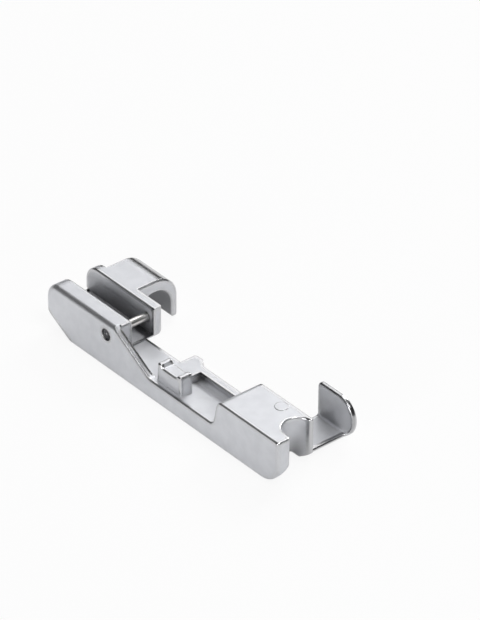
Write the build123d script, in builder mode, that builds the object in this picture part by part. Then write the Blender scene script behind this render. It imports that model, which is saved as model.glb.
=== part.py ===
from build123d import *

import os
from math import acos, degrees

# Overlock presser foot for sewing on strings of beads: one cast body and the steel pin it hangs from.
# X runs to the operator's right, Y to the rear and Z up. The origin is on the sole, under the middle.
# Stations "from left" are measured from the left face, "from rear" from the rear end and "from toe"
# from the front end, all in millimetres.

# Main body
LENGTH = 56.4
DECK_HEIGHT = 3.5
BAR_WIDTH = 6.8
EDGE_ROUND = 0.3
SOLE_EDGE_ROUND = 0.5
REAR_RISE_LENGTH = 6.6
REAR_RISE_HEIGHT = 3.45
REAR_HEEL_RADIUS = 3.0
TOE_RADIUS = 4.0

# Ears with the slot between them, and the sloping rib ahead of the left ear
EAR_HEIGHT = 8.6
LEFT_EAR_WIDTH = 3.3
LEFT_EAR_LENGTH = 17.4
LEFT_EAR_CORNER = 2.7
RIGHT_EAR_WIDTH = 1.65
RIGHT_EAR_LENGTH = 17.0
RIGHT_EAR_CORNER = 2.9
EAR_EDGE_ROUND = 0.3
EAR_OUTER_ROUND = 0.85
SLOT_WIDTH = 4.7
SLOT_FLOOR_HEIGHT = 3.8
SHELF_REAR_HEIGHT = 2.4
SHELF_FRONT_HEIGHT = 3.4
SHELF_EDGE_RADIUS = 0.9
RIB_WIDTH = 1.15
RIB_SETBACK = 0.6
RIB_RUN = 8.8
RIB_FOOT_RADIUS = 2.0

# Cross pin
PIN_DIAMETER = 1.4
PIN_FROM_REAR = 15.1
PIN_HEIGHT = 6.3
PIN_END_CHAMFER = 0.2
PIN_RECESS_DIAMETER = 2.1
PIN_RECESS_DEPTH = 0.7

# Rear hook over the bead tunnel
TUNNEL_WIDTH = 6.8
TUNNEL_HEIGHT = 6.5
TUNNEL_RADIUS = 3.4
TUNNEL_LEFT_HEIGHT = 4.9
HOOK_WALL = 1.15
HOOK_RADIUS = 4.4
HOOK_FROM_REAR = 2.9
HOOK_LENGTH = 8.25
HOOK_FOOT_HEIGHT = 0.4
HOOK_FOOT_RADIUS = 0.5
HOOK_EDGE_CHAMFER = 0.25

# Wing beside the needle, and the needle recess ahead of it
WING_RIGHT = 9.9
WING_FROM_REAR = 25.05
WING_CORNER_RADIUS = 0.5
NEEDLE_FROM_REAR = 28.7
NEEDLE_RECESS_RADIUS = 1.8

# Pocket in the deck, which leaves the rail along the right edge
RAIL_RIGHT = 8.8
RAIL_WIDTH = 1.3
POCKET_LEFT = 0.6
POCKET_FROM_REAR = 29.1
POCKET_FLOOR_HEIGHT = 1.4
POCKET_FLOOR_RADIUS = 18.0
POCKET_CORNER_RADIUS = 0.7

# Boss on the deck, with a ridge at each end of its top
BOSS_LEFT = 1.0
BOSS_WIDTH = 2.4
BOSS_FROM_REAR = 26.3
BOSS_LENGTH = 6.0
BOSS_DRAFT = 0.2
BOSS_HEIGHT = 6.7
BOSS_SADDLE_HEIGHT = 6.15
BOSS_RIDGE = 0.75
BOSS_RIDGE_SLOPE = 0.5
BOSS_EDGE_ROUND = 0.3

# Front block with its toe and notch
BLOCK_HEIGHT = 8.3
BLOCK_WIDTH = 8.35
BLOCK_LENGTH = 15.4
BLOCK_LEAN = 0.95
BLOCK_FOOT_RADIUS = 0.9
BLOCK_CREST_RADIUS = 1.4
BLOCK_CORNER_RADIUS = 1.2
BLOCK_CORNER_INSET = 1.1
TOE_WIDTH = 2.75
TOE_CORNER_RADIUS = 2.0
TOE_CORNER_TILT = 45.0
LIP_RADIUS = 0.9
NOTCH_RADIUS = 2.55
NOTCH_FROM_TOE = 1.45
NOSE_FROM_TOE = 1.6
NOSE_RADIUS = 0.6
GROOVE_LENGTH = 11.0
GROOVE_RADIUS = 2.3
MARK_RADIUS = 1.1
MARK_HEIGHT = 0.08
MARK_FROM_LEFT = 6.8
MARK_FROM_TOE = 7.2

# Bead trough with its fence
TROUGH_LENGTH = 8.35
TROUGH_FROM_TOE = 0.7
TROUGH_UNDERSIDE = 0.85
TROUGH_FLOOR = 1.05
TROUGH_WIDTH = 7.25
TROUGH_RADIUS = 3.7
TROUGH_BEND_RADIUS = 1.5
TROUGH_INNER_RADIUS = 0.4
FENCE_HEIGHT = 8.05
FENCE_WALL = 0.9
FENCE_CORNER_RADIUS = 0.8
FENCE_EDGE_ROUND = 0.3

# How far a hidden join reaches into its neighbour, and a cut past the outside
JOIN = 0.6
PAST = 1.0

WIDTH = LEFT_EAR_WIDTH + SLOT_WIDTH + RIGHT_EAR_WIDTH + TUNNEL_WIDTH + HOOK_WALL
SLOT_RIGHT = LEFT_EAR_WIDTH + SLOT_WIDTH
EAR_RIGHT = SLOT_RIGHT + RIGHT_EAR_WIDTH
TUNNEL_RIGHT = EAR_RIGHT + TUNNEL_WIDTH
RIB_TOP_FROM_REAR = LEFT_EAR_LENGTH - RIB_SETBACK
RIB_FOOT_FROM_REAR = RIB_TOP_FROM_REAR + RIB_RUN
BLOCK_FROM_REAR = LENGTH - BLOCK_LENGTH
POCKET_FRONT = BLOCK_FROM_REAR - BLOCK_FOOT_RADIUS
NOTCH_FROM_LEFT = TOE_WIDTH + NOTCH_RADIUS
GROOVE_FROM_LEFT = TOE_WIDTH + GROOVE_RADIUS
TOE_CORNER_LEFT = TOE_WIDTH - TOE_CORNER_RADIUS
TROUGH_FRONT = LENGTH - TROUGH_FROM_TOE
TROUGH_REAR = TROUGH_FRONT - TROUGH_LENGTH
TROUGH_RIGHT = BLOCK_WIDTH + TROUGH_WIDTH
TROUGH_TURN = TROUGH_FRONT - TROUGH_RADIUS
TROUGH_TOP = TROUGH_UNDERSIDE + TROUGH_FLOOR
FENCE_RIGHT = TROUGH_RIGHT + FENCE_WALL
FENCE_RADIUS = FENCE_HEIGHT - TROUGH_UNDERSIDE - TROUGH_RADIUS


def across(from_left):
    """X of a station measured from the left face."""
    return from_left - WIDTH / 2


def along(from_rear):
    """Y of a station measured from the rear end."""
    return LENGTH / 2 - from_rear


def side_plane(from_left):
    """Upright plane along the foot: its x runs to the rear, its y up, and it extrudes to the right."""
    return Plane.YZ.offset(across(from_left))


def section_plane(from_rear):
    """Upright plane across the foot: its x runs to the right, its y up, and it extrudes to the front."""
    return Plane.XZ.offset(-along(from_rear))


def side(*stations):
    """Points of a side view, from stations (from rear, height)."""
    return [(along(from_rear), height) for from_rear, height in stations]


def section(*stations):
    """Points of a cross-section, from stations (from left, height)."""
    return [(across(from_left), height) for from_left, height in stations]


def plan(*stations):
    """Points of a plan view, from stations (from left, from rear)."""
    return [(across(from_left), along(from_rear)) for from_left, from_rear in stations]


# Ears: a shelf beside the bar carries the right ear, and the left ear runs out into the sloping rib
with BuildPart() as ears:
    with BuildSketch(side_plane(0)):
        Polygon(
            *side(
                (0, SHELF_REAR_HEIGHT),
                (RIGHT_EAR_LENGTH, SHELF_FRONT_HEIGHT),
                (RIGHT_EAR_LENGTH, SLOT_FLOOR_HEIGHT),
                (0, SLOT_FLOOR_HEIGHT),
            ),
            align=None,
        )
    extrude(amount=EAR_RIGHT)
    with BuildSketch(side_plane(SLOT_RIGHT)) as right_ear:
        Polygon(
            *side(
                (0, SHELF_REAR_HEIGHT),
                (RIGHT_EAR_LENGTH, SHELF_FRONT_HEIGHT),
                (RIGHT_EAR_LENGTH, EAR_HEIGHT),
                (0, EAR_HEIGHT),
            ),
            align=None,
        )
        fillet(right_ear.vertices().group_by(Axis.Y)[-1].sort_by(Axis.X)[-1], RIGHT_EAR_CORNER)
    extrude(amount=RIGHT_EAR_WIDTH)
    fillet(ears.edges().group_by(Axis.X)[-1].sort_by(Axis.Z)[0], SHELF_EDGE_RADIUS)
    fillet(ears.edges().filter_by(Axis.Z).group_by(Axis.X)[-1].sort_by(Axis.Y)[0], EDGE_ROUND)
    with BuildSketch(side_plane(RIB_WIDTH)) as left_ear:
        Polygon(
            *side(
                (0, SHELF_REAR_HEIGHT),
                (LEFT_EAR_LENGTH, SHELF_REAR_HEIGHT),
                (LEFT_EAR_LENGTH, EAR_HEIGHT),
                (0, EAR_HEIGHT),
            ),
            align=None,
        )
        fillet(left_ear.vertices().group_by(Axis.Y)[-1].sort_by(Axis.X)[-1], LEFT_EAR_CORNER)
    extrude(amount=LEFT_EAR_WIDTH - RIB_WIDTH)
    with BuildSketch(side_plane(0)) as rib:
        Polygon(
            *side(
                (0, SHELF_REAR_HEIGHT),
                (RIB_FOOT_FROM_REAR + RIB_FOOT_RADIUS, SHELF_REAR_HEIGHT),
                (RIB_FOOT_FROM_REAR + RIB_FOOT_RADIUS, DECK_HEIGHT),
                (RIB_FOOT_FROM_REAR, DECK_HEIGHT),
                (RIB_TOP_FROM_REAR, EAR_HEIGHT),
                (0, EAR_HEIGHT),
            ),
            align=None,
        )
        fillet(rib.vertices().group_by(Axis.Y)[-1].sort_by(Axis.X)[-1], LEFT_EAR_CORNER)
        fillet(rib.vertices().group_by(Axis.Y)[1].sort_by(Axis.X)[-1], RIB_FOOT_RADIUS)
    extrude(amount=RIB_WIDTH)
    fillet(ears.edges().filter_by(Axis.Y).group_by(Axis.Z)[-1].sort_by(Axis.X)[1:4], EAR_EDGE_ROUND)
    fillet(ears.edges().filter_by(Axis.Y).group_by(Axis.Z)[-1].sort_by(Axis.X)[0], EAR_OUTER_ROUND)

# Rear hook: a round-shouldered wall that arches from the right ear over the bead tunnel
with BuildPart() as rear_hook:
    with BuildSketch(section_plane(HOOK_FROM_REAR)) as hook_section:
        with BuildLine():
            hook_top = Line(*section((EAR_RIGHT - JOIN, EAR_HEIGHT), (WIDTH - HOOK_RADIUS, EAR_HEIGHT)))
            shoulder = JernArc(hook_top @ 1, (1, 0), HOOK_RADIUS, -90)
            hook_foot = Polyline(
                shoulder @ 1,
                *section(
                    (WIDTH, HOOK_FOOT_HEIGHT),
                    (TUNNEL_RIGHT, HOOK_FOOT_HEIGHT),
                    (TUNNEL_RIGHT, TUNNEL_HEIGHT - TUNNEL_RADIUS),
                ),
            )
            vault = JernArc(hook_foot @ 1, (0, 1), TUNNEL_RADIUS, 90)
            haunch = TangentArc(vault @ 1, *section((EAR_RIGHT, TUNNEL_LEFT_HEIGHT)), tangent=vault % 1)
            Polyline(haunch @ 1, *section((EAR_RIGHT - JOIN, TUNNEL_LEFT_HEIGHT)), hook_top @ 0)
        make_face()
        fillet(hook_section.vertices().group_by(Axis.Y)[0], HOOK_FOOT_RADIUS)
    extrude(amount=HOOK_LENGTH)
    chamfer(rear_hook.faces().filter_by(Axis.Y).edges(), HOOK_EDGE_CHAMFER)

# Front block: it rises from the deck over a hollow foot and a round crest, with a round corner at the
# right, and its toe turns up
with BuildPart() as front_block:
    with BuildSketch(side_plane(0)) as block_side:
        Polygon(
            *side(
                (POCKET_FRONT, 0),
                (LENGTH, 0),
                (LENGTH, BLOCK_HEIGHT),
                (BLOCK_FROM_REAR + BLOCK_LEAN, BLOCK_HEIGHT),
                (BLOCK_FROM_REAR, DECK_HEIGHT),
                (POCKET_FRONT, DECK_HEIGHT),
            ),
            align=None,
        )
        fillet(block_side.vertices().group_by(Axis.Y)[-1].sort_by(Axis.X)[-1], BLOCK_CREST_RADIUS)
        fillet(block_side.vertices().group_by(Axis.Y)[1].sort_by(Axis.X)[0], BLOCK_FOOT_RADIUS)
        fillet(block_side.vertices().group_by(Axis.Y)[0].sort_by(Axis.X)[0], TOE_RADIUS)
    extrude(amount=BLOCK_WIDTH)
    with BuildSketch(Plane.XY.offset(DECK_HEIGHT)):
        corner_left = BLOCK_WIDTH - BLOCK_CORNER_INSET
        corner_front = BLOCK_FROM_REAR + BLOCK_CORNER_INSET
        Polygon(
            *plan(
                (corner_left, POCKET_FRONT),
                (BLOCK_WIDTH + PAST, POCKET_FRONT),
                (BLOCK_WIDTH + PAST, corner_front),
                (corner_left, corner_front),
            ),
            align=None,
        )
        with Locations(plan((corner_left, corner_front))[0]):
            Circle(BLOCK_CORNER_RADIUS, mode=Mode.SUBTRACT)
    extrude(amount=BLOCK_HEIGHT, dir=(0, -BLOCK_LEAN, BLOCK_HEIGHT - DECK_HEIGHT), mode=Mode.SUBTRACT)

# Boss: a small drafted block whose top has a ridge at each end
with BuildPart() as boss:
    with BuildSketch(side_plane(BOSS_LEFT)):
        boss_front = BOSS_FROM_REAR + BOSS_LENGTH
        ridge_rear = BOSS_FROM_REAR + BOSS_DRAFT
        ridge_front = boss_front - BOSS_DRAFT
        Polygon(
            *side(
                (BOSS_FROM_REAR, POCKET_FLOOR_HEIGHT),
                (boss_front, POCKET_FLOOR_HEIGHT),
                (ridge_front, BOSS_HEIGHT),
                (ridge_front - BOSS_RIDGE, BOSS_HEIGHT),
                (ridge_front - BOSS_RIDGE - BOSS_RIDGE_SLOPE, BOSS_SADDLE_HEIGHT),
                (ridge_rear + BOSS_RIDGE + BOSS_RIDGE_SLOPE, BOSS_SADDLE_HEIGHT),
                (ridge_rear + BOSS_RIDGE, BOSS_HEIGHT),
                (ridge_rear, BOSS_HEIGHT),
            ),
            align=None,
        )
    extrude(amount=BOSS_WIDTH)
    fillet(boss.edges().group_by(Axis.Z)[1:], BOSS_EDGE_ROUND)

# Bead trough: a floor that turns up at the front and bends into an upright fence with a round front
with BuildPart() as bead_trough:
    with BuildSketch(section_plane(TROUGH_REAR)) as trough_section:
        Polygon(
            *section(
                (BLOCK_WIDTH - JOIN, TROUGH_UNDERSIDE),
                (FENCE_RIGHT, TROUGH_UNDERSIDE),
                (FENCE_RIGHT, FENCE_HEIGHT),
                (TROUGH_RIGHT, FENCE_HEIGHT),
                (TROUGH_RIGHT, TROUGH_TOP),
                (BLOCK_WIDTH - JOIN, TROUGH_TOP),
            ),
            align=None,
        )
        inner_bend = trough_section.vertices().group_by(Axis.Y)[1].sort_by(Axis.X)[-1]
        fillet(inner_bend, TROUGH_INNER_RADIUS)
    extrude(amount=TROUGH_LENGTH)
    with BuildSketch(side_plane(0)) as trough_side:
        with BuildLine():
            keel = Line(*side((TROUGH_REAR, TROUGH_UNDERSIDE), (TROUGH_TURN, TROUGH_UNDERSIDE)))
            upturn = JernArc(keel @ 1, (-1, 0), TROUGH_RADIUS, -90)
            brow = JernArc(upturn @ 1, (0, 1), FENCE_RADIUS, -90)
            Polyline(brow @ 1, *side((TROUGH_REAR, FENCE_HEIGHT)), keel @ 0)
        make_face()
        fillet(trough_side.vertices().group_by(Axis.Y)[-1].sort_by(Axis.X)[-1], FENCE_CORNER_RADIUS)
    extrude(amount=WIDTH, mode=Mode.INTERSECT)
    fillet(bead_trough.faces().filter_by(Axis.X).sort_by(Axis.X)[-1].edges(), FENCE_EDGE_ROUND)
    fence_inside = bead_trough.faces().filter_by(Axis.X).sort_by(Axis.X)[-2]
    fillet(fence_inside.edges().group_by(Axis.Z)[-1], FENCE_EDGE_ROUND)
    with BuildSketch(section_plane(TROUGH_REAR)) as bend:
        Polygon(
            *section(
                (BLOCK_WIDTH - JOIN, TROUGH_UNDERSIDE),
                (FENCE_RIGHT, TROUGH_UNDERSIDE),
                (FENCE_RIGHT, FENCE_HEIGHT),
                (BLOCK_WIDTH - JOIN, FENCE_HEIGHT),
            ),
            align=None,
        )
        fillet(bend.vertices().group_by(Axis.Y)[0].sort_by(Axis.X)[-1], TROUGH_BEND_RADIUS)
    extrude(amount=TROUGH_LENGTH, mode=Mode.INTERSECT)

with BuildPart() as foot_body:
    # Bar and deck in plan, with the wing and the needle recess
    with BuildSketch() as outline:
        with BuildLine():
            recess_turn = degrees(acos(1 - (WING_RIGHT - RAIL_RIGHT) / NEEDLE_RECESS_RADIUS))
            recess_front = plan((RAIL_RIGHT, NEEDLE_FROM_REAR))[0]
            recess = JernArc(recess_front, (0, 1), NEEDLE_RECESS_RADIUS, -recess_turn)
            Polyline(
                recess @ 1,
                *plan(
                    (WING_RIGHT, WING_FROM_REAR),
                    (BAR_WIDTH, WING_FROM_REAR),
                    (BAR_WIDTH, 0),
                    (0, 0),
                    (0, BLOCK_FROM_REAR),
                    (RAIL_RIGHT, BLOCK_FROM_REAR),
                ),
                recess @ 0,
            )
        make_face()
        fillet(outline.vertices().group_by(Axis.X)[-1], WING_CORNER_RADIUS)
    extrude(amount=DECK_HEIGHT)
    # Pocket, whose floor falls away to the right and meets the rail in a hollow corner
    with BuildSketch(section_plane(POCKET_FROM_REAR)) as pocket:
        with BuildLine():
            rail_left = RAIL_RIGHT - RAIL_WIDTH
            floor = RadiusArc(
                *section((POCKET_LEFT, DECK_HEIGHT), (rail_left, POCKET_FLOOR_HEIGHT)), POCKET_FLOOR_RADIUS
            )
            Polyline(
                floor @ 1,
                *section((rail_left, DECK_HEIGHT + PAST), (POCKET_LEFT, DECK_HEIGHT + PAST)),
                floor @ 0,
            )
        make_face()
        fillet(pocket.vertices().group_by(Axis.Y)[0], POCKET_CORNER_RADIUS)
    extrude(amount=POCKET_FRONT - POCKET_FROM_REAR, mode=Mode.SUBTRACT)
    add(front_block.part)
    # Groove under the block, in line with the notch, with a round edge at its left
    with BuildSketch(section_plane(LENGTH - GROOVE_LENGTH)):
        Polygon(
            *section(
                (TOE_CORNER_LEFT, 0),
                (GROOVE_FROM_LEFT, 0),
                (GROOVE_FROM_LEFT, TOE_CORNER_RADIUS),
                (TOE_CORNER_LEFT, TOE_CORNER_RADIUS),
            ),
            align=None,
        )
        with Locations(section((TOE_CORNER_LEFT, TOE_CORNER_RADIUS))[0]):
            Circle(TOE_CORNER_RADIUS, mode=Mode.SUBTRACT)
        with Locations(section((GROOVE_FROM_LEFT, 0))[0]):
            Circle(GROOVE_RADIUS)
    extrude(amount=GROOVE_LENGTH, mode=Mode.SUBTRACT)
    # The same round corner across the middle of the toe's curve
    toe_middle = (0, along(LENGTH - TOE_RADIUS), TOE_RADIUS)
    toe_curve = Plane(toe_middle, x_dir=(1, 0, 0), z_dir=(0, -1, 0))
    with BuildSketch(toe_curve.rotated((-TOE_CORNER_TILT, 0, 0))):
        Polygon(
            (across(TOE_CORNER_LEFT), -TOE_RADIUS - PAST),
            (across(GROOVE_FROM_LEFT), -TOE_RADIUS - PAST),
            (across(GROOVE_FROM_LEFT), -TOE_RADIUS + TOE_CORNER_RADIUS),
            (across(TOE_CORNER_LEFT), -TOE_RADIUS + TOE_CORNER_RADIUS),
            align=None,
        )
        with Locations((across(TOE_CORNER_LEFT), -TOE_RADIUS + TOE_CORNER_RADIUS)):
            Circle(TOE_CORNER_RADIUS, mode=Mode.SUBTRACT)
    extrude(amount=TOE_RADIUS, both=True, mode=Mode.SUBTRACT)
    # Raised underside from the groove to the trough
    with BuildSketch(side_plane(NOTCH_FROM_LEFT)):
        with BuildLine():
            relief = Line(*side((TROUGH_REAR, TROUGH_UNDERSIDE), (TROUGH_TURN, TROUGH_UNDERSIDE)))
            sweep_up = JernArc(relief @ 1, (-1, 0), TROUGH_RADIUS, -90)
            Polyline(
                sweep_up @ 1,
                *side(
                    (LENGTH + PAST, TROUGH_UNDERSIDE + TROUGH_RADIUS),
                    (LENGTH + PAST, -PAST),
                    (TROUGH_REAR, -PAST),
                ),
                relief @ 0,
            )
        make_face()
    extrude(amount=WIDTH, mode=Mode.SUBTRACT)
    # Notch with a round lip, and the nose of the wall beside it, which stands back from the toe
    with BuildSketch() as notch:
        with Locations(plan((NOTCH_FROM_LEFT, LENGTH - NOTCH_FROM_TOE))[0]):
            Circle(NOTCH_RADIUS)
        Polygon(
            *plan(
                (TOE_WIDTH, LENGTH - NOTCH_FROM_TOE),
                (TOE_WIDTH, LENGTH),
                (0, LENGTH),
                (0, LENGTH + PAST),
                (WIDTH, LENGTH + PAST),
                (WIDTH, LENGTH - NOSE_FROM_TOE),
                (NOTCH_FROM_LEFT, LENGTH - NOSE_FROM_TOE),
                (NOTCH_FROM_LEFT, LENGTH - NOTCH_FROM_TOE),
            ),
            align=None,
        )
        fillet(notch.vertices().sort_by_distance(plan((TOE_WIDTH, LENGTH))[0])[0], LIP_RADIUS)
        nose = plan((NOTCH_FROM_LEFT + NOTCH_RADIUS, LENGTH - NOSE_FROM_TOE))[0]
        fillet(notch.vertices().sort_by_distance(nose)[0], NOSE_RADIUS)
    extrude(amount=BLOCK_HEIGHT, mode=Mode.SUBTRACT)
    add(ears.part)
    add(boss.part)
    # Rear end that rises to a round heel
    with BuildSketch(side_plane(0)) as heel:
        Polygon(
            *side(
                (REAR_RISE_LENGTH, 0),
                (0, REAR_RISE_HEIGHT),
                (0, EAR_HEIGHT),
                (-PAST, EAR_HEIGHT),
                (-PAST, -PAST),
                (REAR_RISE_LENGTH, -PAST),
            ),
            align=None,
        )
        fillet(heel.vertices().sort_by_distance((along(0), REAR_RISE_HEIGHT))[0], REAR_HEEL_RADIUS)
    extrude(amount=EAR_RIGHT, mode=Mode.SUBTRACT)
    add(rear_hook.part)
    add(bead_trough.part)
    # Soft edges: the sole and the front of the toe at the left, then the top ahead of the ear, where the
    # round runs on past the toe and round the notch
    left_face = foot_body.faces().filter_by(Axis.X).sort_by(Axis.X)[0]
    fillet(left_face.edges().sort_by(Axis.Y)[0], SOLE_EDGE_ROUND)
    left_top = foot_body.faces().filter_by(Axis.X).sort_by(Axis.X)[0].edges()
    left_top = left_top.filter_by_position(Axis.Z, DECK_HEIGHT, EAR_HEIGHT)
    toe_to_rib = (along(LENGTH - TOE_RADIUS), along(RIB_TOP_FROM_REAR))
    fillet(left_top.filter_by_position(Axis.Y, *toe_to_rib), EDGE_ROUND)
    # Hole for the pin through both ears, recessed on the left
    with BuildSketch(side_plane(0)):
        with Locations(side((PIN_FROM_REAR, PIN_HEIGHT))[0]):
            Circle(PIN_DIAMETER / 2)
    extrude(amount=EAR_RIGHT, mode=Mode.SUBTRACT)
    with BuildSketch(side_plane(0)):
        with Locations(side((PIN_FROM_REAR, PIN_HEIGHT))[0]):
            Circle(PIN_RECESS_DIAMETER / 2)
    extrude(amount=PIN_RECESS_DEPTH, mode=Mode.SUBTRACT)
    # Raised ejector mark on the block
    with BuildSketch(Plane.XY.offset(BLOCK_HEIGHT)):
        with Locations(plan((MARK_FROM_LEFT, LENGTH - MARK_FROM_TOE))[0]):
            Circle(MARK_RADIUS)
    extrude(amount=MARK_HEIGHT)

with BuildPart() as cross_pin:
    with BuildSketch(side_plane(PIN_RECESS_DEPTH)):
        with Locations(side((PIN_FROM_REAR, PIN_HEIGHT))[0]):
            Circle(PIN_DIAMETER / 2)
    extrude(amount=EAR_RIGHT - PIN_RECESS_DEPTH)
    chamfer(cross_pin.edges().filter_by(GeomType.CIRCLE), PIN_END_CHAMFER)

foot_body.part.label = "foot_body"
cross_pin.part.label = "cross_pin"

os.makedirs("parts", exist_ok=True)
export_step(foot_body.part, "parts/foot_body.step")
export_step(cross_pin.part, "parts/cross_pin.step")
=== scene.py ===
"""Looks of a cast presser foot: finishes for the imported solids, a studio stage and the camera."""

import math

import bpy
import numpy as np
from bpy.props import FloatProperty, FloatVectorProperty, PointerProperty
from mathutils import Matrix, Vector

bl_info = {
    "name": "Presser foot",
    "version": (1, 0, 0),
    "blender": (4, 5, 0),
    "location": "3D View > Sidebar > Presser foot",
    "description": "Dresses a cast presser foot and sets up its studio stage",
    "category": "Object",
}

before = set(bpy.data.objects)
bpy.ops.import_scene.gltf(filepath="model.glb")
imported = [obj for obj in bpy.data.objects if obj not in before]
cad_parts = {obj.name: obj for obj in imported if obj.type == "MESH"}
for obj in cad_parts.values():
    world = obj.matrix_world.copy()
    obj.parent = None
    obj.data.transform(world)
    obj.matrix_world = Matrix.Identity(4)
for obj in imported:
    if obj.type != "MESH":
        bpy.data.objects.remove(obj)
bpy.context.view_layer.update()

# Ramps of the finishes: the values at which each is 0 and 1
CLOUD_RAMP = (0.3, 0.7)
SPECK_RAMP = (0.62, 0.8)
EDGE_RAMP = (0.05, 0.3)
# The next ramp paints shade deep in recesses, by how little open space surrounds a point
RECESS_SHADE_RAMP = (0.52, 0.22)
OPEN_RAMP = (0.65, 0.95)

# Zones of the casting: ramps along its axes, each with the places in metres at which it is 0 and 1
# The tunnel, fence and notch zones get painted shade, and the shoulder a painted dark reflection
HOOK = (("Y", 0.0171, 0.0175), ("X", 0.0009, 0.0012))
TUNNEL = (*HOOK, ("X", 0.008, 0.0077), ("Z", 0.007, 0.0066))
SHOULDER = (*HOOK, ("X", 0.0044, 0.006), ("Z", 0.0042, 0.0066))
NOTCH = (
    ("Y", -0.0235, -0.0245),
    ("Z", 0.0065, 0.0015),
    ("X", -0.0004, -0.0022),
    ("X", -0.0062, -0.0056),
)
FENCE = (
    ("Y", -0.0175, -0.0185),
    ("Z", 0.0022, 0.003),
    ("X", 0.0065, 0.0069),
    ("X", 0.0074, 0.0071),
)

# Fineness of the noise, and how far it moves the roughness from its middle value
CLOUD_DETAIL = 3.0
GRAIN_DETAIL = 2.0
MARK_DETAIL = 2.0
NOISE_MIDDLE = 0.5
CLOUD_ROUGHNESS = 0.06
SPECK_ROUGHNESS = 0.05
MARK_ROUGHNESS = 0.08

BEVEL_SAMPLES = 6
OCCLUSION_SAMPLES = 8

# Stage
WHITE = (1.0, 1.0, 1.0, 1.0)
FLOOR_TONE = (0.9, 0.9, 0.9, 1.0)
HORIZON_RAMP = (0.0, 0.03)
DOME_BLUE = 1.03

# Softboxes: turn from behind the foot to its right and height above the floor, both in degrees,
# side in metres, and the setting that holds the brightness
SOFTBOXES = (
    ("right_softbox", 72, 36, 0.4, "right_light"),
    ("rear_softbox", 36, 36, 0.4, "rear_light"),
    ("upper_softbox", 60, 62, 0.4, "upper_light"),
    ("overhead_softbox", 0, 90, 0.5, "overhead_light"),
    ("front_softbox", 180, 60, 0.4, "front_light"),
    ("low_softbox", 252, 12, 0.35, "low_light"),
)

# Camera: image in pixels, sensor in millimetres, clipping in metres
IMAGE_WIDTH = 480
SENSOR_WIDTH = 36.0
CLIP_START = 0.05
CLIP_END = 50.0


class Wire:
    """A socket that takes part in arithmetic: each operator adds one Math node to its net."""

    def __init__(self, net, socket):
        self.net = net
        self.socket = socket

    def maths(self, operation, first, second):
        return self.net.node("ShaderNodeMath", {"operation": operation}, {0: first, 1: second})

    def __add__(self, other):
        return self.maths("ADD", self, other)

    def __radd__(self, other):
        return self.maths("ADD", other, self)

    def __sub__(self, other):
        return self.maths("SUBTRACT", self, other)

    def __rsub__(self, other):
        return self.maths("SUBTRACT", other, self)

    def __mul__(self, other):
        return self.maths("MULTIPLY", self, other)

    def __rmul__(self, other):
        return self.maths("MULTIPLY", other, self)

    def __truediv__(self, other):
        return self.maths("DIVIDE", self, other)

    def __rtruediv__(self, other):
        return self.maths("DIVIDE", other, self)


class NodeNet:
    """The nodes of one material or world."""

    def __init__(self, tree):
        self.tree = tree
        tree.nodes.clear()

    def node(self, kind, settings=None, inputs=None, output=0):
        """Adds a node, sets it up, feeds its sockets and gives back one output as a wire."""
        made = self.tree.nodes.new(kind)
        for name, value in (settings or {}).items():
            setattr(made, name, value)
        for name, value in (inputs or {}).items():
            if isinstance(value, Wire):
                self.tree.links.new(value.socket, made.inputs[name])
            else:
                made.inputs[name].default_value = value
        return Wire(self, made.outputs[output]) if len(made.outputs) else None

    def smooth_step(self, value, low, high):
        """A value that eases from 0 at low to 1 at high. Low may be the larger one."""
        return self.node(
            "ShaderNodeMapRange",
            {"interpolation_type": "SMOOTHSTEP"},
            {"Value": value, "From Min": low, "From Max": high, "To Min": 0.0, "To Max": 1.0},
        )

    def mix_colours(self, factor, first, second):
        """The first colour where the factor is 0, the second where it is 1."""
        return self.node(
            "ShaderNodeMix",
            {"data_type": "RGBA"},
            {"Factor": factor, 6: first, 7: second},
            output=2,
        )

    def noise(self, place, size, detail):
        """Noise in space, with patches of about this size."""
        return self.node(
            "ShaderNodeTexNoise", None, {"Vector": place, "Scale": 1 / size, "Detail": detail}
        )

    def occlusion(self, reach, inside=False):
        """The share of directions that are clear over this reach, outside or inside the metal."""
        return self.node(
            "ShaderNodeAmbientOcclusion",
            {"inside": inside, "only_local": True, "samples": OCCLUSION_SAMPLES},
            {"Distance": reach},
            output="AO",
        )

    def zone(self, axes, ramps):
        """1 in a zone of the casting and 0 outside it: the product of the zone's ramps."""
        steps = [self.smooth_step(axes[axis], outside, inside) for axis, outside, inside in ramps]
        return math.prod(steps[1:], start=steps[0])


def new_material(name):
    """A named material and the net of its nodes."""
    material = bpy.data.materials.new(name)
    material.use_nodes = True
    return material, NodeNet(material.node_tree)


def opaque(tone):
    """A tone as the colour of a socket."""
    return (*tone, 1.0)


def dress(node_name, material):
    """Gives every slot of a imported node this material."""
    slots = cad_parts[node_name].material_slots
    if not slots:
        raise RuntimeError(f"{node_name} has no material slot")
    for slot in slots:
        slot.material = material


def tone_setting(name, description, default):
    return FloatVectorProperty(
        name=name, description=description, subtype="COLOR", min=0.0, max=1.0, default=default
    )


def share_setting(name, description, default):
    return FloatProperty(name=name, description=description, min=0.0, max=1.0, default=default)


def length_setting(name, description, default):
    return FloatProperty(name=name, description=description, unit="LENGTH", default=default)


def angle_setting(name, description, degrees):
    return FloatProperty(
        name=name, description=description, subtype="ANGLE", default=math.radians(degrees)
    )


def light_setting(name, description, default):
    return FloatProperty(name=name, description=description, default=default)


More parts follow.
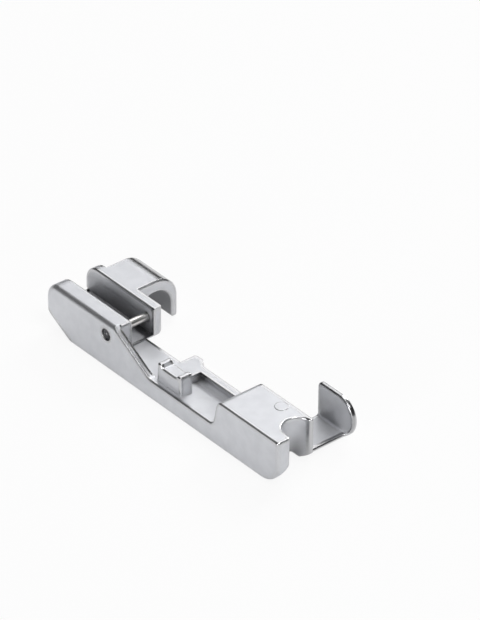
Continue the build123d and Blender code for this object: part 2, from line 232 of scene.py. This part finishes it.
class CastingSettings(bpy.types.PropertyGroup):
    """Finish of the plated casting."""

    light_tone: tone_setting(
        "Light tone", "Colour of the plating where it is brightest", (0.735, 0.745, 0.775)
    )
    dark_tone: tone_setting(
        "Dark tone", "Colour of the plating where it is cloudy", (0.685, 0.695, 0.725)
    )
    metal: share_setting("Metal", "Share of bright metal in the recesses", 0.4)
    open_metal: share_setting(
        "Open metal", "Share of bright metal on the faces that tumbling reaches", 0.85
    )
    roughness: share_setting("Roughness", "Roughness of the blasted faces", 0.46)
    # Painted shade: the dark tone put deep in recesses and in the tunnel, fence and notch zones
    painted_shade_tone: tone_setting(
        "Dull tone", "Colour of the thin plating in slots and corners", (0.14, 0.14, 0.145)
    )
    slot_depth: length_setting("Slot depth", "Reach over which a slot counts as deep", 0.01)
    tunnel_shade: share_setting("Tunnel dull", "Share of the dull tone inside the tunnel", 0.66)
    fence_shade: share_setting(
        "Fence dull", "Share of the dull tone on the inner face of the fence", 0.32
    )
    notch_shade: share_setting("Notch dull", "Share of the dull tone low in the notch", 0.8)
    # Painted dark reflection: a darker tone on the edges and the hook's shoulder
    edge_reflection_tone: tone_setting(
        "Edge tone", "Colour of the metal that tumbling bares on the edges", (0.6, 0.6, 0.61)
    )
    edge_roughness: share_setting("Edge roughness", "Roughness of the burnished edges", 0.2)
    edge_reach: length_setting("Edge reach", "Reach over which an edge is burnished", 0.0008)
    edge: length_setting("Edge", "Radius of the soft edge that tumbling leaves", 0.00012)
    grain: length_setting("Grain", "Size of the grain that blasting leaves", 0.00016)
    grain_depth: length_setting("Grain depth", "Depth of the blasted grain", 0.0000035)
    mottle: length_setting("Mottle", "Size of the cloudy patches in the plating", 0.0022)


class PinSettings(bpy.types.PropertyGroup):
    """Finish of the polished pin."""

    tone: tone_setting("Tone", "Colour of the polished steel", (0.74, 0.73, 0.71))
    roughness: share_setting("Roughness", "Roughness of the polished steel", 0.3)
    scratch: length_setting("Scratch", "Spacing of the fine turning marks round the pin", 0.00008)


class StageSettings(bpy.types.PropertyGroup):
    """Studio round the foot, and the camera."""

    azimuth: angle_setting("Azimuth", "Turn of the camera about the foot", -40.216)
    elevation: angle_setting("Elevation", "Height angle of the camera", 34.173)
    roll: angle_setting("Roll", "Turn of the camera about its own axis", 0.568)
    distance: length_setting("Distance", "From the camera to the foot", 0.8)
    focal_pixels: FloatProperty(
        name="Focal length",
        description="Focal length in pixels of the image's width",
        default=5172.33,
    )
    target: FloatVectorProperty(
        name="Target",
        description="Point that the camera turns about",
        subtype="XYZ",
        default=(0.00005, -0.0002, 0.004),
    )
    slide: FloatVectorProperty(
        name="Slide",
        description="Shift of the foot in the picture, to the right and up",
        size=2,
        default=(-0.005502, -0.008387),
    )
    floor_size: length_setting("Floor size", "Side of the floor", 6.0)
    floor_drop: length_setting("Floor drop", "Gap between the sole and the floor", 0.00002)
    floor_pale: share_setting("Floor pale", "Share of plain white in the floor as it is seen", 0.9)
    mirror_pale: share_setting(
        "Mirrored pale", "Share of plain white in the floor as metal shows it", 0.28
    )
    right_light: light_setting("Right", "Brightness of the softbox on the right", 6.9)
    rear_light: light_setting("Rear", "Brightness of the softbox behind the foot", 1.45)
    upper_light: light_setting("Upper", "Brightness of the softbox high on the right", 2.59)
    overhead_light: light_setting("Overhead", "Brightness of the softbox above", 0.96)
    front_light: light_setting("Front", "Brightness of the softbox high in front", 8.4)
    low_light: light_setting("Low", "Brightness of the softbox low on the left", 10.0)
    dome: light_setting("Dome", "Brightness of the dim studio above", 0.02)


class PRESSERFOOT_OT_dress_casting(bpy.types.Operator):
    """Satin plating: cloudy tone, blasted grain, burnished edges with a painted dark reflection,
    and painted shade in recesses
    """

    bl_idname = "presser_foot.dress_casting"
    bl_label = "Dress the casting"

    def execute(self, context):
        finish = context.scene.presser_foot_casting
        material, net = new_material("satin_plating_painted_shade")
        place = net.node("ShaderNodeTexCoord", output="Object")
        axes = {
            axis: net.node("ShaderNodeSeparateXYZ", None, {0: place}, output=axis) for axis in "XYZ"
        }
        cloud = net.noise(place, finish.mottle, CLOUD_DETAIL)
        grain = net.noise(place, finish.grain, GRAIN_DETAIL)
        speck = net.smooth_step(grain, *SPECK_RAMP)

        # Tumbling burnishes the edges, which have little metal behind them, and the hook's
        # shoulder; both also get a darker tone as a painted dark reflection
        edges = net.smooth_step(1 - net.occlusion(finish.edge_reach, inside=True), *EDGE_RAMP)
        burnish_and_reflection = edges + net.zone(axes, SHOULDER) * (1 - edges)

        # Painted shade: a dark tone deep in the slots, in the tunnel, low in the notch and inside
        # the fence
        open_air = net.occlusion(finish.slot_depth)
        deep = net.smooth_step(open_air, *RECESS_SHADE_RAMP)
        shaded = (
            finish.tunnel_shade * net.zone(axes, TUNNEL)
            + finish.fence_shade * net.zone(axes, FENCE)
            + finish.notch_shade * net.zone(axes, NOTCH)
        )

        tone = net.mix_colours(
            net.smooth_step(cloud, *CLOUD_RAMP), opaque(finish.dark_tone), opaque(finish.light_tone)
        )
        # Painted dark reflection: a darker tone on the edges and the hook's shoulder
        tone = net.mix_colours(burnish_and_reflection, tone, opaque(finish.edge_reflection_tone))
        # Painted shade deep in the slots and in the tunnel, fence and notch zones
        tone = net.mix_colours(deep, tone, opaque(finish.painted_shade_tone))
        tone = net.mix_colours(shaded, tone, opaque(finish.painted_shade_tone))
        openness = net.smooth_step(open_air, *OPEN_RAMP)
        metal = finish.metal + openness * (finish.open_metal - finish.metal)
        soft_edge = net.node("ShaderNodeBevel", {"samples": BEVEL_SAMPLES}, {"Radius": finish.edge})
        relief = net.node(
            "ShaderNodeBump",
            None,
            {"Strength": 1.0, "Distance": finish.grain_depth, "Height": grain, "Normal": soft_edge},
        )
        surface = net.node(
            "ShaderNodeBsdfPrincipled",
            None,
            {
                "Base Color": tone,
                "Metallic": metal + burnish_and_reflection * (1 - metal),
                "Roughness": finish.roughness
                + burnish_and_reflection * (finish.edge_roughness - finish.roughness)
                + CLOUD_ROUGHNESS * (cloud - NOISE_MIDDLE)
                + SPECK_ROUGHNESS * speck,
                "Normal": relief,
            },
        )
        net.node("ShaderNodeOutputMaterial", None, {"Surface": surface})
        dress("foot_body", material)
        return {"FINISHED"}


class PRESSERFOOT_OT_dress_pin(bpy.types.Operator):
    """Polished steel on the pin, with fine turning marks round it"""

    bl_idname = "presser_foot.dress_pin"
    bl_label = "Dress the pin"

    def execute(self, context):
        finish = context.scene.presser_foot_pin
        material, net = new_material("polished_steel")
        place = net.node("ShaderNodeTexCoord", output="Object")
        along_pin = net.node("ShaderNodeSeparateXYZ", None, {0: place}, output="X")
        marks = net.node(
            "ShaderNodeTexNoise",
            {"noise_dimensions": "1D"},
            {"W": along_pin / finish.scratch, "Scale": 1.0, "Detail": MARK_DETAIL},
        )
        surface = net.node(
            "ShaderNodeBsdfPrincipled",
            None,
            {
                "Base Color": opaque(finish.tone),
                "Metallic": 1.0,
                "Roughness": finish.roughness + MARK_ROUGHNESS * (marks - NOISE_MIDDLE),
            },
        )
        net.node("ShaderNodeOutputMaterial", None, {"Surface": surface})
        dress("cross_pin", material)
        return {"FINISHED"}


class PRESSERFOOT_OT_set_stage(bpy.types.Operator):
    """Pale floor, dim studio with six softboxes, and the camera"""

    bl_idname = "presser_foot.set_stage"
    bl_label = "Set the stage"

    def execute(self, context):
        scene = context.scene
        stage = scene.presser_foot_stage
        self.lay_floor(scene, stage)
        self.dim_studio(scene, stage)
        for name, turn, height, size, light in SOFTBOXES:
            self.hang_softbox(
                scene, name, math.radians(turn), math.radians(height), size, getattr(stage, light)
            )
        self.aim_camera(scene, stage)
        scene.view_settings.view_transform = "Standard"
        return {"FINISHED"}

    def lay_floor(self, scene, stage):
        """A flat square just under the sole. Rays that see it straight or mirrored find it pale."""
        half = stage.floor_size / 2
        corners = np.array([[-half, -half, 0], [half, -half, 0], [half, half, 0], [-half, half, 0]])
        corners[:, 2] = -stage.floor_drop
        mesh = bpy.data.meshes.new("floor")
        mesh.from_pydata(corners.tolist(), [], [(0, 1, 2, 3)])
        floor = bpy.data.objects.new("floor", mesh)
        scene.collection.objects.link(floor)
        material, net = new_material("pale_floor")
        straight, glossy, clear = (
            net.node("ShaderNodeLightPath", output=ray)
            for ray in ("Is Camera Ray", "Is Glossy Ray", "Is Transmission Ray")
        )
        seen = stage.floor_pale * straight + stage.mirror_pale * (glossy + clear)
        lit = net.node("ShaderNodeBsdfDiffuse", None, {"Color": FLOOR_TONE})
        pale = net.node("ShaderNodeEmission", None, {"Color": WHITE, "Strength": 1.0})
        surface = net.node("ShaderNodeMixShader", None, {0: seen, 1: lit, 2: pale})
        net.node("ShaderNodeOutputMaterial", None, {"Surface": surface})
        mesh.materials.append(material)

    def dim_studio(self, scene, stage):
        """World light: white at the horizon, as the floor runs on, and dim above it."""
        scene.world = bpy.data.worlds.new("studio")
        scene.world.use_nodes = True
        net = NodeNet(scene.world.node_tree)
        direction = net.node("ShaderNodeTexCoord", output="Generated")
        height = net.node("ShaderNodeSeparateXYZ", None, {0: direction}, output="Z")
        above = net.smooth_step(height, *HORIZON_RAMP)
        dim = (stage.dome, stage.dome, stage.dome * DOME_BLUE, 1.0)
        colour = net.mix_colours(above, WHITE, dim)
        light = net.node("ShaderNodeBackground", None, {"Color": colour, "Strength": 1.0})
        net.node("ShaderNodeOutputWorld", None, {"Surface": light})

    def hang_softbox(self, scene, name, turn, height, size, brightness):
        """A square lamp 1 m away that faces the foot.

        Its power is pi times its area times its brightness.
        """
        level = math.cos(height)
        place = (math.sin(turn) * level, math.cos(turn) * level, math.sin(height))
        lamp = bpy.data.lights.new(name, "AREA")
        lamp.size = size
        lamp.energy = math.pi * size**2 * brightness
        softbox = bpy.data.objects.new(name, lamp)
        softbox.location = place
        softbox.rotation_euler = (-Vector(place)).to_track_quat("-Z", "Y").to_euler()
        scene.collection.objects.link(softbox)

    def aim_camera(self, scene, stage):
        """A camera that turns about the target, at the photograph's angle and framing."""
        sine, cosine = math.sin(stage.azimuth), math.cos(stage.azimuth)
        level = math.cos(stage.elevation)
        back = Vector((sine * level, -cosine * level, math.sin(stage.elevation)))
        flat_right = Vector((cosine, sine, 0.0))
        flat_up = back.cross(flat_right)
        right = math.cos(stage.roll) * flat_right + math.sin(stage.roll) * flat_up
        up = math.cos(stage.roll) * flat_up - math.sin(stage.roll) * flat_right
        framed = Vector(stage.target) - stage.slide[0] * right - stage.slide[1] * up
        place = framed + stage.distance * back
        lens = bpy.data.cameras.new("camera")
        lens.sensor_fit = "HORIZONTAL"
        lens.sensor_width = SENSOR_WIDTH
        lens.lens = stage.focal_pixels * SENSOR_WIDTH / IMAGE_WIDTH
        lens.clip_start = CLIP_START
        lens.clip_end = CLIP_END
        camera = bpy.data.objects.new("camera", lens)
        turned = Matrix((right, up, back)).transposed().to_4x4()
        camera.matrix_world = Matrix.Translation(place) @ turned
        scene.collection.objects.link(camera)
        scene.camera = camera


class PRESSERFOOT_PT_sidebar(bpy.types.Panel):
    """Lists the finishes and the stage"""

    bl_label = "Presser foot"
    bl_idname = "PRESSERFOOT_PT_sidebar"
    bl_space_type = "VIEW_3D"
    bl_region_type = "UI"
    bl_category = "Presser foot"

    def draw(self, context):
        scene = context.scene
        for group, operator in (
            (scene.presser_foot_casting, PRESSERFOOT_OT_dress_casting),
            (scene.presser_foot_pin, PRESSERFOOT_OT_dress_pin),
            (scene.presser_foot_stage, PRESSERFOOT_OT_set_stage),
        ):
            column = self.layout.column(align=True)
            for name in group.__annotations__:
                column.prop(group, name)
            column.operator(operator.bl_idname)


CLASSES = (
    CastingSettings,
    PinSettings,
    StageSettings,
    PRESSERFOOT_OT_dress_casting,
    PRESSERFOOT_OT_dress_pin,
    PRESSERFOOT_OT_set_stage,
    PRESSERFOOT_PT_sidebar,
)


def register():
    for item in CLASSES:
        bpy.utils.register_class(item)
    bpy.types.Scene.presser_foot_casting = PointerProperty(type=CastingSettings)
    bpy.types.Scene.presser_foot_pin = PointerProperty(type=PinSettings)
    bpy.types.Scene.presser_foot_stage = PointerProperty(type=StageSettings)


def unregister():
    del bpy.types.Scene.presser_foot_stage
    del bpy.types.Scene.presser_foot_pin
    del bpy.types.Scene.presser_foot_casting
    for item in reversed(CLASSES):
        bpy.utils.unregister_class(item)


def main():
    register()
    bpy.ops.presser_foot.dress_casting()
    bpy.ops.presser_foot.dress_pin()
    bpy.ops.presser_foot.set_stage()


if __name__ == "__main__":
    main()
